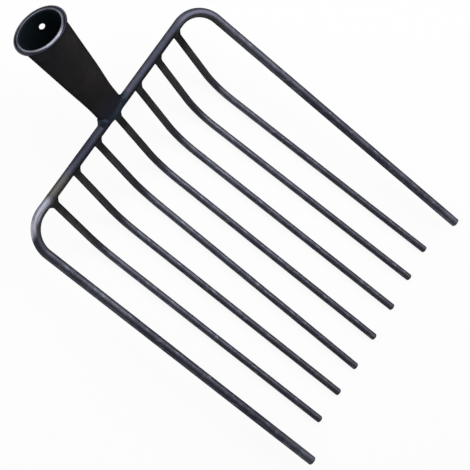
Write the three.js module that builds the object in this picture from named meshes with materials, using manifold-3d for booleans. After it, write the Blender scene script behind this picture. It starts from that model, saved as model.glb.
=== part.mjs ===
// Head of a nine-tine scoop fork: a bent rod frame, seven scooped inner tines welded to its
// cross bar, and a tapered handle socket with a rolled lip.
// Millimetres, +Z up. The head lies on the straight runs of its inner tines, with the tines
// pointing along +Y and the socket rising towards -Y.
import * as THREE from 'three';
import { mergeVertices } from 'three/addons/utils/BufferGeometryUtils.js';
import Module from 'manifold-3d';

const wasm = await Module();
wasm.setup();

// Driving dimensions of the frame rod, which is the cross bar and both outer tines in one
const frameRodDiameter = 9;
const outerTineSpacing = 286;
const outerTineReach = 383.5;
const outerTineShortCut = 2.2;
const outerTineFlare = 9.8;
const cornerRadius = 29.6;
const framePitch = THREE.MathUtils.degToRad(6.6);

// Driving dimensions of the inner tines, in the order from -X to +X
const tineRodDiameter = 7;
const tineCount = 7;
const tinePitch = 34.2;
const tineDrop = 61.4;
const tineBendReach = 74.6;
const tineReach = 376;
const tineBendRadius = 67;
const tineTipArc = 3.6;

// Where each hand-set tine stands beside its even place, in shares of the tine pitch
const tineRootShares = [-0.043, -0.089, -0.097, -0.067, -0.111, -0.09, -0.042];
const tineBendShares = [-0.158, -0.146, -0.137, -0.12, -0.167, -0.091, -0.067];
const tineTipShares = [-0.269, -0.196, -0.056, 0.082, 0.208, 0.196, 0.234];

// How much of a broad weld each tine also has on its +X side
const tineWeldFarShares = [0, 0, 0, 0, 0, 0, 1];

// Driving dimensions of the handle socket
const socketLength = 128.4;
const socketMouthDiameter = 47.2;
const socketFootWidth = 27.5;
const socketWall = 2.5;
const socketFootWall = 2.2;
const socketPressLength = 64;
const socketFootSpread = 1.2;
const socketSpreadLength = 30;
const socketRise = THREE.MathUtils.degToRad(38.9);
const socketLean = THREE.MathUtils.degToRad(1.6);
const socketSideStep = -1.9;
const lipDiameter = 53.8;
const lipHeight = 4;
const lipLandWidth = 2.2;
const nailHoleDiameter = 6.2;
const nailHoleDepth = 15.2;
const nailHoleTurn = THREE.MathUtils.degToRad(29);

// Driving dimensions of the weld beads
const tineWeldLeg = 5.6;
const tineWeldFoot = 5;
const tineWeldBroadLeg = 9.6;
const tineWeldBroadFoot = 8.6;
const weldToe = 0.35;
const socketWeldRadius = 2;
const socketWeldBroadRadius = 4.2;

// Fits and finish
const clearance = 0.3;
const cutOverrun = 4;
const tipChamfer = 0.7;

// Facets, which change how fine the curves are and no size
const rodSides = 16;
const frameRodSides = 20;
const socketSides = 40;
const cornerSteps = 10;
const bendSteps = 8;
const weldSteps = 24;
const weldProfileSteps = 3;
const lipSteps = 4;
const pressSteps = 8;
const beadSides = 12;
const cutterSides = 28;

const frameRodRadius = frameRodDiameter / 2;
const tineRodRadius = tineRodDiameter / 2;
const socketFootHalfWidth = socketFootWidth / 2;
const socketMouthRadius = socketMouthDiameter / 2;
const socketFootHalfHeight = frameRodRadius + clearance + socketFootWall;
const xAxis = new THREE.Vector3(1, 0, 0);
const zAxis = new THREE.Vector3(0, 0, 1);
const vec = (x, y, z) => new THREE.Vector3(x, y, z);

// Geometry helpers

// Joins equal rings of points into a closed body, with fans over its two ends
function loftSolid(rings) {
  const sides = rings[0].length;
  const points = rings.flat();
  const indices = [];
  for (let ring = 0; ring < rings.length - 1; ring++) {
    joinRings(indices, ring * sides, (ring + 1) * sides, sides);
  }
  const first = points.push(ringCentre(rings[0])) - 1;
  const last = points.push(ringCentre(rings[rings.length - 1])) - 1;
  const lastRing = (rings.length - 1) * sides;
  for (let side = 0; side < sides; side++) {
    const next = (side + 1) % sides;
    indices.push(first, next, side);
    indices.push(last, lastRing + side, lastRing + next);
  }
  return indexedGeometry(points, indices);
}

// Joins equal rings of points into a closed ring-shaped body
function loftRing(rings) {
  const sides = rings[0].length;
  const indices = [];
  for (let ring = 0; ring < rings.length; ring++) {
    joinRings(indices, ring * sides, ((ring + 1) % rings.length) * sides, sides);
  }
  return indexedGeometry(rings.flat(), indices);
}

function joinRings(indices, from, to, sides) {
  for (let side = 0; side < sides; side++) {
    const next = (side + 1) % sides;
    indices.push(from + side, from + next, to + next);
    indices.push(from + side, to + next, to + side);
  }
}

function ringCentre(ring) {
  const centre = vec(0, 0, 0);
  for (const point of ring) centre.add(point);
  return centre.divideScalar(ring.length);
}

function indexedGeometry(points, indices) {
  const geometry = new THREE.BufferGeometry().setFromPoints(points);
  geometry.setIndex(indices);
  return geometry;
}

// Turns a closed geometry into a solid, with its faces pointing out
function toSolid(geometry) {
  geometry.deleteAttribute('normal');
  geometry.deleteAttribute('uv');
  const merged = mergeVertices(geometry);
  const indices = Uint32Array.from(merged.index.array);
  if (signedVolume(merged) < 0) {
    for (let i = 0; i < indices.length; i += 3) {
      [indices[i], indices[i + 1]] = [indices[i + 1], indices[i]];
    }
  }
  const vertProperties = Float32Array.from(merged.attributes.position.array);
  return new wasm.Manifold(new wasm.Mesh({ numProp: 3, vertProperties, triVerts: indices }));
}

function signedVolume(geometry) {
  const position = geometry.attributes.position;
  const index = geometry.index.array;
  const corners = [vec(0, 0, 0), vec(0, 0, 0), vec(0, 0, 0)];
  let volume = 0;
  for (let i = 0; i < index.length; i += 3) {
    corners.forEach((corner, k) => corner.fromBufferAttribute(position, index[i + k]));
    volume += corners[0].dot(corners[1].cross(corners[2]));
  }
  return volume;
}

function toGeometry(solid) {
  const mesh = solid.getMesh();
  const geometry = new THREE.BufferGeometry();
  const positions = new Float32Array(mesh.numVert * 3);
  for (let vertex = 0; vertex < mesh.numVert; vertex++) {
    for (let axis = 0; axis < 3; axis++) {
      positions[vertex * 3 + axis] = mesh.vertProperties[vertex * mesh.numProp + axis];
    }
  }
  geometry.setAttribute('position', new THREE.BufferAttribute(positions, 3));
  geometry.setIndex(Array.from(mesh.triVerts));
  return geometry;
}

// A ring of points about a place, square to a direction, with flats facing up and down
function roundRing(place, direction, up, radius, sides) {
  const across = direction.clone().cross(up).normalize();
  const above = across.clone().cross(direction).normalize();
  const ring = [];
  for (let side = 0; side < sides; side++) {
    const angle = ((side + 0.5) / sides) * Math.PI * 2;
    const offset = across.clone().multiplyScalar(Math.cos(angle) * radius);
    offset.addScaledVector(above, Math.sin(angle) * radius);
    ring.push(place.clone().add(offset));
  }
  return ring;
}

// Places and directions along a bent rod, straight between its corners
function bentPath(corners, radius, steps) {
  const path = [{ place: corners[0], direction: corners[1].clone().sub(corners[0]).normalize() }];
  for (let i = 1; i < corners.length - 1; i++) {
    const before = corners[i].clone().sub(corners[i - 1]).normalize();
    const after = corners[i + 1].clone().sub(corners[i]).normalize();
    const turn = before.angleTo(after);
    const normal = before.clone().cross(after).normalize();
    const inward = normal.clone().cross(before);
    const start = corners[i].clone().addScaledVector(before, -radius * Math.tan(turn / 2));
    const centre = start.clone().addScaledVector(inward, radius);
    for (let step = 0; step <= steps; step++) {
      const angle = (step / steps) * turn;
      const place = start.clone().sub(centre).applyAxisAngle(normal, angle).add(centre);
      path.push({ place, direction: before.clone().applyAxisAngle(normal, angle) });
    }
  }
  const end = corners[corners.length - 1];
  path.push({ place: end, direction: end.clone().sub(corners[corners.length - 2]).normalize() });
  return path;
}

// The rings of a bent rod, with its last end chamfered, and its first end too if asked
function rodRings(path, up, radius, sides, chamferBoth) {
  const rings = path.map(({ place, direction }) => roundRing(place, direction, up, radius, sides));
  const chamferedEnd = ({ place, direction }, sense) => {
    const shoulder = place.clone().addScaledVector(direction, -sense * tipChamfer);
    return [
      roundRing(shoulder, direction, up, radius, sides),
      roundRing(place, direction, up, radius - tipChamfer, sides),
    ];
  };
  rings.splice(-1, 1, ...chamferedEnd(path[path.length - 1], 1));
  if (chamferBoth) rings.splice(0, 1, ...chamferedEnd(path[0], -1).reverse());
  return rings;
}

// Frame rod: both outer tines and the cross bar, in a plane that pitches down to the tips
const frameForward = vec(0, Math.cos(framePitch), -Math.sin(framePitch));
const frameUp = vec(0, Math.sin(framePitch), Math.cos(framePitch));

function frameCorner(side) {
  return vec(side * outerTineSpacing / 2, 0, 0);
}

function frameTip(side) {
  const reach = side < 0 ? outerTineReach - outerTineShortCut : outerTineReach;
  const tip = frameForward.clone().multiplyScalar(reach);
  return tip.add(vec(side * (outerTineSpacing / 2 + outerTineFlare), 0, 0));
}

function frameRod() {
  const corners = [frameTip(-1), frameCorner(-1), frameCorner(1), frameTip(1)];
  const path = bentPath(corners, cornerRadius, cornerSteps);
  return toSolid(loftSolid(rodRings(path, frameUp, frameRodRadius, frameRodSides, true)));
}

// The cross bar's straight stretch grown by the fit clearance, which cuts what meets it
function barCutter() {
  const half = outerTineSpacing / 2;
  const rings = [-1, 1].map((side) =>
    roundRing(vec(side * half, 0, 0), xAxis, frameUp, frameRodRadius + clearance, cutterSides));
  return toSolid(loftSolid(rings));
}

// Inner tines: down from the bar, through a wide bend, then level to the tip
function tinePlaces(index) {
  const even = (index - (tineCount - 1) / 2) * tinePitch;
  const fromMiddle = (index - (tineCount - 1) / 2) / ((tineCount - 1) / 2);
  const root = vec(even + tineRootShares[index] * tinePitch, 0, 0);
  const bend = vec(even + tineBendShares[index] * tinePitch, tineBendReach, -tineDrop);
  const tipReach = tineReach - tineTipArc * fromMiddle * fromMiddle;
  const tip = vec(even + tineTipShares[index] * tinePitch, tipReach, -tineDrop);
  return { root, bend, tip };
}

function tine(index, bar) {
  const { root, bend, tip } = tinePlaces(index);
  const path = bentPath([root, bend, tip], tineBendRadius, bendSteps);
  const rod = toSolid(loftSolid(rodRings(path, zAxis, tineRodRadius, rodSides, false)));
  return rod.subtract(bar);
}

// A tine's first stretch grown by the fit clearance, which cuts its weld bead
function tineCutter(root, direction) {
  const reach = frameRodRadius + tineWeldBroadLeg + cutOverrun;
  const rings = [0, reach].map((along) => roundRing(
    root.clone().addScaledVector(direction, along), direction, zAxis,
    tineRodRadius + clearance, cutterSides));
  return toSolid(loftSolid(rings));
}

// Weld bead round a tine's root: a hollow-faced fillet from the tine down onto the bar, which
// flows out further on the -X side, where the welder ended it, and at one tine on both sides
function tineWeld(index, bar) {
  const { root, bend } = tinePlaces(index);
  const direction = bend.clone().sub(root).normalize();
  const across = xAxis.clone().addScaledVector(direction, -xAxis.dot(direction)).normalize();
  const above = across.clone().cross(direction).normalize();
  const neckRadius = tineRodRadius + clearance + weldToe;
  const skirtY = Math.min(neckRadius, frameRodRadius - weldToe);
  const rings = [];
  for (let step = 0; step < weldSteps; step++) {
    const angle = (step / weldSteps) * Math.PI * 2;
    const broad = Math.max(-Math.cos(angle), Math.cos(angle) * tineWeldFarShares[index], 0);
    const leg = tineWeldLeg + (tineWeldBroadLeg - tineWeldLeg) * broad;
    const skirtX = tineRodRadius + tineWeldFoot + (tineWeldBroadFoot - tineWeldFoot) * broad;
    const point = (radiusX, radiusY, along) => root.clone()
      .addScaledVector(across, radiusX * Math.cos(angle))
      .addScaledVector(above, radiusY * Math.sin(angle))
      .addScaledVector(direction, along);
    const surface = frameRodRadius + clearance;
    const depthAt = (height) => Math.sqrt(Math.max(surface * surface - height * height, 0));
    const neckAlong = depthAt(tineRodRadius * Math.sin(angle)) + leg;
    const skirtAlong = depthAt(skirtY * Math.sin(angle));
    const ring = [point(tineRodRadius / 2, tineRodRadius / 2, 0)];
    ring.push(point(tineRodRadius / 2, tineRodRadius / 2, neckAlong));
    for (let k = 0; k <= weldProfileSteps; k++) {
      const turn = (k / weldProfileSteps) * (Math.PI / 2);
      const spread = 1 - Math.cos(turn);
      const radiusX = neckRadius + (skirtX - neckRadius) * spread;
      const radiusY = neckRadius + (skirtY - neckRadius) * spread;
      const along = neckAlong + (skirtAlong + weldToe - neckAlong) * Math.sin(turn);
      ring.push(point(radiusX, radiusY, along));
    }
    ring.push(point(skirtX, skirtY, 0));
    rings.push(ring);
  }
  return toSolid(loftRing(rings)).subtract(bar).subtract(tineCutter(root, direction));
}

// Handle socket: a tapered tube, pressed oval over the bar at its foot, with a rolled lip
const socketAxis = vec(
  Math.sin(socketLean),
  -Math.cos(socketRise) * Math.cos(socketLean),
  Math.sin(socketRise) * Math.cos(socketLean));
const socketAcross = xAxis.clone().addScaledVector(socketAxis, -xAxis.dot(socketAxis)).normalize();
const socketAbove = socketAcross.clone().cross(socketAxis).negate().normalize();
const socketFoot = vec(socketSideStep, 0, 0);

function coneRadius(along) {
  return socketFootHalfWidth + (socketMouthRadius - socketFootHalfWidth) * (along / socketLength);
}

// Half the tube's height at a distance from the foot, where it is pressed flatter than wide
function pressedHalfHeight(along) {
  const share = THREE.MathUtils.smoothstep(along, 0, socketPressLength);
  return socketFootHalfHeight + (coneRadius(along) - socketFootHalfHeight) * share;
}

// How far pressing the foot flat has spread each of its sides beyond the plain cone
function footSpread(along) {
  return socketFootSpread * (1 - THREE.MathUtils.smoothstep(along, 0, socketSpreadLength));
}

// A point of the socket, from its distance along the axis, the angle round it and how deep it
// lies under the tube's outer surface
function socketPoint(along, angle, depth) {
  const halfWidth = coneRadius(along) + footSpread(along) - depth;
  const halfHeight = pressedHalfHeight(along) - depth;
  return socketFoot.clone()
    .addScaledVector(socketAxis, along)
    .addScaledVector(socketAcross, halfWidth * Math.cos(angle))
    .addScaledVector(socketAbove, halfHeight * Math.sin(angle));
}

function socketRing(along, depth) {
  const ring = [];
  for (let side = 0; side < socketSides; side++) {
    ring.push(socketPoint(along, (side / socketSides) * Math.PI * 2, depth));
  }
  return ring;
}

function wallAt(along) {
  const share = THREE.MathUtils.smoothstep(along, 0, socketPressLength);
  return socketFootWall + (socketWall - socketFootWall) * share;
}

// The lip's outline from the outer wall round to the bore, as distances along and depths
function lipOutline() {
  const proud = lipDiameter / 2 - socketMouthRadius;
  const innerRound = (socketWall + proud - lipLandWidth) / 2;
  const outerRound = socketWall + proud - lipLandWidth - innerRound;
  const outline = [];
  const under = lipHeight - outerRound;
  for (let step = 0; step <= lipSteps; step++) {
    const angle = (step / lipSteps) * (Math.PI / 2);
    outline.push([socketLength - lipHeight + under * (1 - Math.cos(angle)), -proud * Math.sin(angle)]);
  }
  for (let step = 1; step <= lipSteps; step++) {
    const angle = (step / lipSteps) * (Math.PI / 2);
    outline.push([
      socketLength - outerRound * (1 - Math.sin(angle)),
      -proud + outerRound * (1 - Math.cos(angle)),
    ]);
  }
  for (let step = 0; step <= lipSteps; step++) {
    const angle = (step / lipSteps) * (Math.PI / 2);
    outline.push([
      socketLength - innerRound * (1 - Math.cos(angle)),
      socketWall - innerRound * (1 - Math.sin(angle)),
    ]);
  }
  return outline;
}

function socket(bar) {
  const rings = [];
  for (let step = 0; step <= pressSteps; step++) {
    rings.push(socketRing((step / pressSteps) * socketPressLength, 0));
  }
  for (const [along, depth] of lipOutline()) rings.push(socketRing(along, depth));
  for (let step = pressSteps; step >= 0; step--) {
    const along = (step / pressSteps) * socketPressLength;
    rings.push(socketRing(along, wallAt(along)));
  }
  return toSolid(loftRing(rings)).subtract(bar).subtract(nailHoleCutter());
}

// The nail hole goes through the underside of the socket, a little to its -X side, drilled at a
// slant halfway between square to the wall and straight down
function nailHoleCutter() {
  const along = socketLength - nailHoleDepth;
  const outward = socketAcross.clone().multiplyScalar(-Math.sin(nailHoleTurn));
  outward.addScaledVector(socketAbove, -Math.cos(nailHoleTurn));
  const centre = socketFoot.clone()
    .addScaledVector(socketAxis, along)
    .addScaledVector(outward, coneRadius(along) - socketWall / 2);
  const direction = outward.clone().sub(zAxis).normalize();
  const reach = nailHoleDiameter + cutOverrun;
  const rings = [-1, 1].map((side) => {
    const place = centre.clone().addScaledVector(direction, side * reach);
    return roundRing(place, direction, socketAxis, nailHoleDiameter / 2, rodSides);
  });
  return toSolid(loftSolid(rings));
}

// The socket's outer shape near its foot, filled and grown by the fit clearance
function socketCutter() {
  const rings = [socketRing(-clearance, -clearance)];
  for (let step = 0; step <= pressSteps; step++) {
    rings.push(socketRing((step / pressSteps) * socketPressLength, -clearance));
  }
  return toSolid(loftSolid(rings));
}

// Weld bead where the socket's foot sits on the bar: half a loop, over or under the bar
function socketWeld(sense, bar, filledSocket) {
  const sideReach = frameRodRadius + clearance;
  const crownHeight = (sideReach + socketFootHalfHeight) / 2 + weldToe;
  const rings = [];
  for (let step = 0; step <= weldSteps; step++) {
    const angle = (step / weldSteps) * Math.PI;
    const broad = Math.max(Math.cos(angle), 0);
    const radius = socketWeldRadius + (socketWeldBroadRadius - socketWeldRadius) * broad * broad;
    const loopPoint = (turn) => {
      const cosine = Math.cos(turn);
      const sine = Math.sin(turn);
      const along = sideReach * cosine * cosine - weldToe * sine * sine;
      return socketFoot.clone()
        .addScaledVector(socketAxis, along)
        .addScaledVector(socketAcross, (socketFootHalfWidth + socketFootSpread + weldToe) * cosine)
        .addScaledVector(socketAbove, sense * crownHeight * sine);
    };
    const place = loopPoint(angle);
    const nearby = Math.PI / weldSteps / 2;
    const direction = loopPoint(angle + nearby).sub(loopPoint(angle - nearby)).normalize();
    rings.push(roundRing(place, direction, socketAxis, radius, beadSides));
  }
  return toSolid(loftSolid(rings)).subtract(bar).subtract(filledSocket);
}

// Assembly
const fork = new THREE.Group();
fork.name = 'fork_head';

const finishes = {
  frame: { color: 0x34353f, roughness: 0.42, metalness: 0.75 },
  tine: { color: 0x2f3038, roughness: 0.45, metalness: 0.75 },
  socket: { color: 0x212124, roughness: 0.6, metalness: 0.6 },
  weld: { color: 0x2a2c38, roughness: 0.5, metalness: 0.7 },
};

function addPiece(name, solid, finish) {
  const mesh = new THREE.Mesh(toGeometry(solid), new THREE.MeshStandardMaterial(finishes[finish]));
  mesh.name = name;
  fork.add(mesh);
}

const bar = barCutter();
const filledSocket = socketCutter();
addPiece('frame_rod', frameRod(), 'frame');
addPiece('handle_socket', socket(bar), 'socket');
for (let index = 0; index < tineCount; index++) {
  addPiece(`tine_${index + 1}`, tine(index, bar), 'tine');
  addPiece(`tine_weld_${index + 1}`, tineWeld(index, bar), 'weld');
}
addPiece('socket_weld_upper', socketWeld(1, bar, filledSocket), 'weld');
addPiece('socket_weld_lower', socketWeld(-1, bar, filledSocket), 'weld');

// The origin is under the middle of the head, on the surface that the tines lie on
const bounds = new THREE.Box3().setFromObject(fork);
const middle = bounds.getCenter(vec(0, 0, 0));
fork.position.set(-middle.x, -middle.y, -bounds.min.z);

export default fork;
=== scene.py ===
"""Finish of a nine-tine scoop fork head: smooth drawn rods, flowing weld beads and a pressed
handle socket with a rolled rim, all in thin blue-black lacquer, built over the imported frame."""
from math import atan2, ceil, cos, pi, radians, sin, sqrt, tan

import bmesh
import bpy
from bpy.props import FloatProperty, FloatVectorProperty, IntProperty, PointerProperty
from bpy.types import Operator, Panel, PropertyGroup
from mathutils import Matrix, Vector


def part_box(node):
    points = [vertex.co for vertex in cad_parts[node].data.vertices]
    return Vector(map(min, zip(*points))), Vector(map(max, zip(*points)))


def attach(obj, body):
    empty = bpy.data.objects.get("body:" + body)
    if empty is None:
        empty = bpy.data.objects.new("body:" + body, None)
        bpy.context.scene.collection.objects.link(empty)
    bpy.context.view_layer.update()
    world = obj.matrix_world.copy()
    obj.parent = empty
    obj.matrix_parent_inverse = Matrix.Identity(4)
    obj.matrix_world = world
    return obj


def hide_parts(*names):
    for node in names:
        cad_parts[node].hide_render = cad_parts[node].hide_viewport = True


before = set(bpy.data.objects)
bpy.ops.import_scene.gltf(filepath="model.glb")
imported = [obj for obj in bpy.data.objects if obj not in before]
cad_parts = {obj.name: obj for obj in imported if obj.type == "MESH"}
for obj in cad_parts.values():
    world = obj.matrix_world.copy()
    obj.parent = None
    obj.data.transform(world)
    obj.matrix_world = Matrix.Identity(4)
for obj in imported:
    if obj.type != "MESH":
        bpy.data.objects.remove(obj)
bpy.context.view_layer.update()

bl_info = {
    "name": "Scoop fork head",
    "version": (1, 0, 0),
    "blender": (4, 5, 0),
    "location": "View3D > Sidebar > Fork",
    "description": "Builds the rods, socket and welds of a scoop fork head over its packed frame",
    "category": "Object",
}

MM = 0.001
BODY = "root"
TINE_COUNT = 7
X_AXIS = Vector((1, 0, 0))
UP = Vector((0, 0, 1))

# Of a rod, between two rings of its mesh
LONGEST_STRETCH = 3 * MM

# How rubbed the lacquer is along the rods, together with painted light: painted shade on the inner
# side of the cross bar and down the tines' slopes, and painted highlight at the bends and on towards
# the tips, as (mm beyond the cross bar, share)
FRAME_WEAR_AND_LIGHT = (
    (-4, 0.66), (-2.2, 0.64), (-0.4, 0.36), (1.2, 0.08), (4.6, 0.02), (9, 0.4), (30, 0.74),
    (90, 0.88), (125, 0.82), (155, 0.6), (200, 0.72), (250, 0.66), (330, 0.7), (383, 1))
TINE_WEAR_AND_LIGHT = (
    (0, 0), (12, 0.06), (26, 0.3), (62, 0.42), (72, 0.6), (84, 0.88), (130, 0.84), (240, 0.7),
    (376, 0.54))

# Lumps that the socket's weld is fused from, in mm: its nose before the foot as (along, half
# height, inset), its cover over the foot as (along, depth under the tube's surface), and the filled
# corner on each side as (beyond the foot, shift up the socket, half thickness, half reach up it)
WELD_NOSE = ((-2.9, 4.4, 1.2), (-1.8, 5.9, -0.2), (-0.6, 7.2, -1.0))
WELD_COVER = ((1.2, -1.2), (3.5, -1.0), (6, -0.5), (9, 0), (12, 0.5))
WELD_CORNERS = {
    1: ((-3, 4.4, 6.6, 6.2), (0.4, 4.2, 6.2, 5.8), (1.7, 2.8, 5.0, 5.4), (4.6, 0.8, 4.3, 4.5)),
    -1: ((-3, 2.4, 5.2, 6), (1, 1.4, 4.5, 5.1), (3.4, 0.3, 4.3, 4.5)),
}

# Spatter hits the bar soft: its width round the bar, its width along it and its height, as shares
# of a ball's
SPATTER_FLATTENING = (1, 1.25, 0.6)

# Nearly all of a noise texture's output lies between these
NOISE_LOW, NOISE_HIGH = 0.3, 0.7
# How much the clouds sway the share of wear and painted light along a rod
CLOUD_SWAY = 0.4
# Scuff marks: their width, the share that Y is shrunk to so that they lie along it, the noise
# that they rise over and the most that one hides of the lacquer
SCUFF_WIDTH = 2.2 * MM
SCUFF_SHRINK_Y = 0.3
SCUFF_NOISE_LOW, SCUFF_NOISE_HIGH = 0.57, 0.71
SCUFF_MOST = 0.55

# How far the floor lies under the tines, clear of the waves in their lacquer
FLOOR_GAP = 0.5 * MM
# How much of the floor that the camera sees is its own white
FLOOR_OWN_WHITE = 0.9
ROOM_LIGHT = 0.26
# Softboxes stand this far off the origin. Each is its turn round Z from +X, its height as an
# angle, its size and its power.
LAMP_DISTANCE = 1.5
SOFTBOXES = {
    "side_softbox": (166, 54, (1.7, 1.6), 16.7),
    "back_softbox": (270, 45, (1.5, 1.7), 15.6),
}
# The camera that was fitted to the photograph: its right, its down and its place in mm from the
# middle of the cross bar
CAMERA_RIGHT = Vector((-0.541148, 0.770884, 0.336001))
CAMERA_DOWN = Vector((0.804202, 0.591199, -0.061170))
CAMERA_PLACE = Vector((264.77, -88.4, 987.73))


def linear(hex_colour):
    """An sRGB hex colour as linear red, green and blue."""
    parts = [int(hex_colour[i:i + 2], 16) / 255 for i in (1, 3, 5)]
    return [part / 12.92 if part <= 0.04045 else ((part + 0.055) / 1.055) ** 2.4 for part in parts]


def length(name, description, millimetres):
    """A length that a user can change, given in millimetres."""
    return FloatProperty(name=name, description=description, default=millimetres * MM, unit="LENGTH")


def angle(name, description, degrees):
    """An angle that a user can change, given in degrees."""
    return FloatProperty(
        name=name, description=description, default=radians(degrees), subtype="ANGLE")


def shares(name, description, values):
    """One share of the tine pitch for each inner tine, from -X to +X."""
    return FloatVectorProperty(
        name=name, description=description, size=TINE_COUNT, default=values)


def colour(name, description, hex_colour):
    """A colour that a user can change, given as sRGB hex."""
    return FloatVectorProperty(
        name=name, description=description, subtype="COLOR", min=0, max=1, default=linear(hex_colour))


class ForkRodSizes(PropertyGroup):
    """Sizes of the frame rod and the inner tines"""
    frame_diameter: length("Frame rod", "Diameter of the cross bar and the outer tines", 9)
    outer_spacing: length("Outer spacing", "Between the two outer tines at the cross bar", 286)
    outer_reach: length("Outer reach", "From the cross bar to the tip of the outer tine at +X", 383.5)
    outer_short_cut: length("Short cut", "How much shorter the outer tine at -X is", 2.2)
    outer_flare: length("Outer flare", "How far each outer tine leans outwards at its tip", 9.8)
    corner_radius: length("Corner radius", "Bend between the cross bar and an outer tine", 29.6)
    frame_pitch: angle("Frame pitch", "Slope of the outer tines down to their tips", 6.6)
    tine_diameter: length("Tine rod", "Diameter of the inner tines", 7)
    tine_pitch: length("Tine pitch", "Even distance between inner tines", 34.2)
    tine_bend_reach: length("Bend reach", "From the cross bar to the inner tines' bend", 74.6)
    tine_bend_radius: length("Bend radius", "Bend of the inner tines", 67)
    tine_tip_arc: length("Tip arc", "How far the outermost inner tips fall short of the middle", 3.6)
    tip_rounding: length("Tip rounding", "Rounding of the cut ends", 1.3)
    waviness: length("Waviness", "Depth of the faint waves left in the drawn rods", 0.16)
    root_shares: shares("Roots", "Each root beside its even place",
                        (-0.043, -0.089, -0.097, -0.067, -0.111, -0.09, -0.042))
    bend_shares: shares("Bends", "Each bend beside its even place",
                        (-0.158, -0.146, -0.137, -0.12, -0.167, -0.091, -0.067))
    tip_shares: shares("Tips", "Each tip beside its even place",
                       (-0.269, -0.196, -0.056, 0.082, 0.208, 0.196, 0.234))


class ForkSocketSizes(PropertyGroup):
    """Sizes of the handle socket"""
    length: length("Length", "From the middle of the cross bar to the mouth", 128.4)
    mouth_diameter: length("Mouth", "Outer diameter of the tube at its mouth, under the rim", 47.2)
    foot_width: length("Foot width", "Width of the pressed foot", 27.5)
    foot_height: length("Foot height", "Height of the pressed foot over the cross bar", 14)
    wall: length("Wall", "Thickness of the tube", 2.5)
    foot_wall: length("Foot wall", "Thickness of the tube where it is pressed", 2.2)
    press_length: length("Press length", "How far up the tube is pressed oval", 64)
    foot_spread: length("Foot spread", "How far pressing has spread each side of the foot", 1.5)
    spread_length: length("Spread length", "How far up the tube its sides are spread", 30)
    foot_edge: length("Foot edge", "Rounding of the foot's cut edge", 0.9)
    rise: angle("Rise", "Slope of the socket over the tines", 38.9)
    lean: angle("Lean", "How far the socket leans towards +X", 1.6)
    side_step: length("Side step", "How far the foot stands beside the middle of the bar", -1.9)
    rim_diameter: length("Rim", "Outer diameter of the rolled rim", 53.8)
    rim_height: length("Rim height", "Height of the rolled rim", 4)
    rim_crest: length("Rim crest", "Rounding of the rim's crest beside the bore", 1.9)
    rim_edge: length("Rim edge", "Rounding of the sheet's rolled-down edge", 1.1)
    rim_fall: length("Rim fall", "How far the rolled edge lies below the crest", 0.3)
    rim_groove: length("Rim groove", "Depth of the groove along the rolled edge", 0.7)
    nail_hole_diameter: length("Nail hole", "Diameter of the hole for the handle's nail", 5.95)
    nail_hole_depth: length("Nail hole depth", "From the mouth to the middle of the nail hole", 15.2)
    nail_hole_turn: angle("Nail hole turn", "Turn of the hole from the underside towards -X", 29)


class ForkWeldSizes(PropertyGroup):
    """Sizes of the weld metal"""
    leg: length("Leg", "Reach of a tine's weld along the tine", 5.6)
    foot: length("Foot", "Reach of a tine's weld along the cross bar", 5)
    broad_leg: length("Broad leg", "Reach along the tine on the -X side", 9.6)
    broad_foot: length("Broad foot", "Reach along the cross bar on the -X side", 8.6)
    far_shares: shares("Far side", "How much of a broad weld each tine also has on its +X side",
                       (0, 0, 0, 0, 0, 0, 1))
    sink: length("Sink", "How deep the thin edges of a weld lie in the rods", 0.15)
    ripple: length("Ripple", "Depth of the ripples left in the weld metal", 0.35)
    ripple_length: length("Ripple length", "Distance between the ripples", 2.4)
    grain: length("Grain", "Size of the cells that the socket's weld metal is fused from", 0.5)
    spatter_diameter: length("Spatter", "Diameter of the bead of spatter beside the socket", 2.2)


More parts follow.
